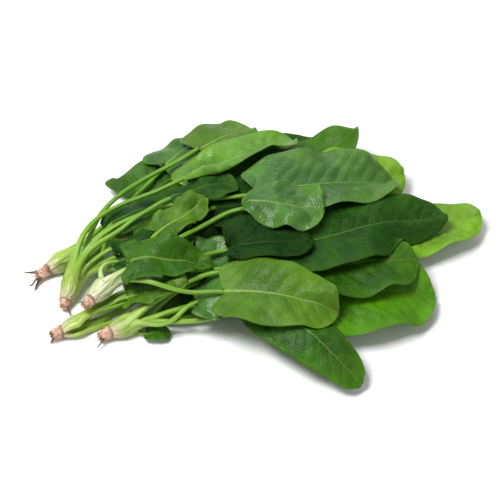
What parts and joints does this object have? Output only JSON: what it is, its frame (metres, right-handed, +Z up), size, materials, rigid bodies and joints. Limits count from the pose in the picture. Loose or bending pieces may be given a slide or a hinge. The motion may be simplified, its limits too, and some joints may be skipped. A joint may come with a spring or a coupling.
{
  "type": "spinach bunch",
  "caption": "Bunch of fresh spinach lying on its side: crowns of pale green stalks with trimmed pink-brown roots, and broad green leaf blades laid over each other.",
  "frame": {"origin": "under the middle of the bunch's bounding box, on the surface that it lies on", "axes": "+X runs along the bunch from the roots to the leaf tips, +Y towards the side that lies at the back, +Z up"},
  "size_m": [0.3, 0.2342, 0.0487],
  "materials": {
    "blade": "satin leaf surface with sunken veins",
    "stalk": "smooth, ribbed, moist plant stalk",
    "root": "rough trimmed root"
  },
  "bodies": {
    "root": {"leaf_a1": "blade", "leaf_a10": "blade", "leaf_a2": "blade", "leaf_a3": "blade", "leaf_a4": "blade", "leaf_a5": "blade", "leaf_a6": "blade", "leaf_a7": "blade", "leaf_a8": "blade", "leaf_a9": "blade", "leaf_b1": "blade", "leaf_b2": "blade", "leaf_b3": "blade", "leaf_b4": "blade", "leaf_b5": "blade", "leaf_c1": "blade", "leaf_c2": "blade", "leaf_c3": "blade", "leaf_c4": "blade", "leaf_c5": "blade", "leaf_c6": "blade", "leaf_d1": "blade", "leaf_d2": "blade", "leaf_d3": "blade", "leaf_d4": "blade", "leaf_d5": "blade", "leaf_d6": "blade", "leaf_e1": "blade", "leaf_e2": "blade", "leaf_e3": "blade", "leaf_e4": "blade", "leaf_e5": "blade", "leaf_e6": "blade", "root_a": "root", "root_b": "root", "root_c": "root", "root_d": "root", "root_e": "root", "stalks_a": "stalk", "stalks_b": "stalk", "stalks_c": "stalk", "stalks_d": "stalk", "stalks_e": "stalk"}
  },
  "joints": []
}
